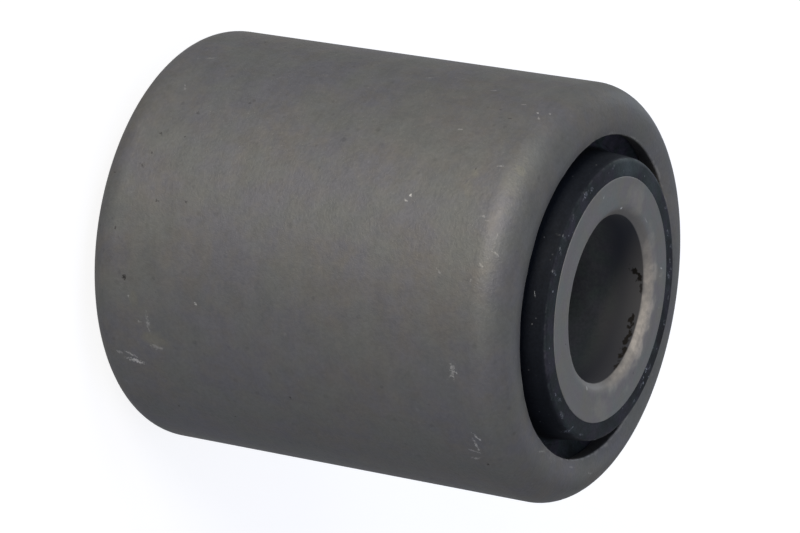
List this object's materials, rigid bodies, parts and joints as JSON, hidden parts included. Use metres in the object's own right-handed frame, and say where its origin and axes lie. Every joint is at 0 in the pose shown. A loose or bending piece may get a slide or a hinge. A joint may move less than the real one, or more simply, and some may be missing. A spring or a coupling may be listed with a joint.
{
  "type": "rubber metal bush",
  "caption": "Round rubber metal bush: a thick steel inner sleeve with a chamfered bore, bonded rubber with a grooved ring at each end, and a steel outer sleeve with rolled-in ends.",
  "frame": {"origin": "centre of the bore, halfway along it", "axes": "+Z along the bore, up when the bush stands on an end; +X and +Y across it; the two ends are alike"},
  "size_m": [0.06, 0.06, 0.071],
  "materials": {
    "phosphated_steel": "dark grey phosphated steel, matt, with fine scuffs and pits",
    "rubber": "bluish black moulded rubber, dull, with a little pale dust",
    "turned_steel": "grey steel with a fine turned end face, a brighter chamfer and a dark stained bore"
  },
  "bodies": {
    "root": {"outer_sleeve": "phosphated_steel", "rubber_body": "rubber", "inner_sleeve": "turned_steel"}
  },
  "joints": []
}
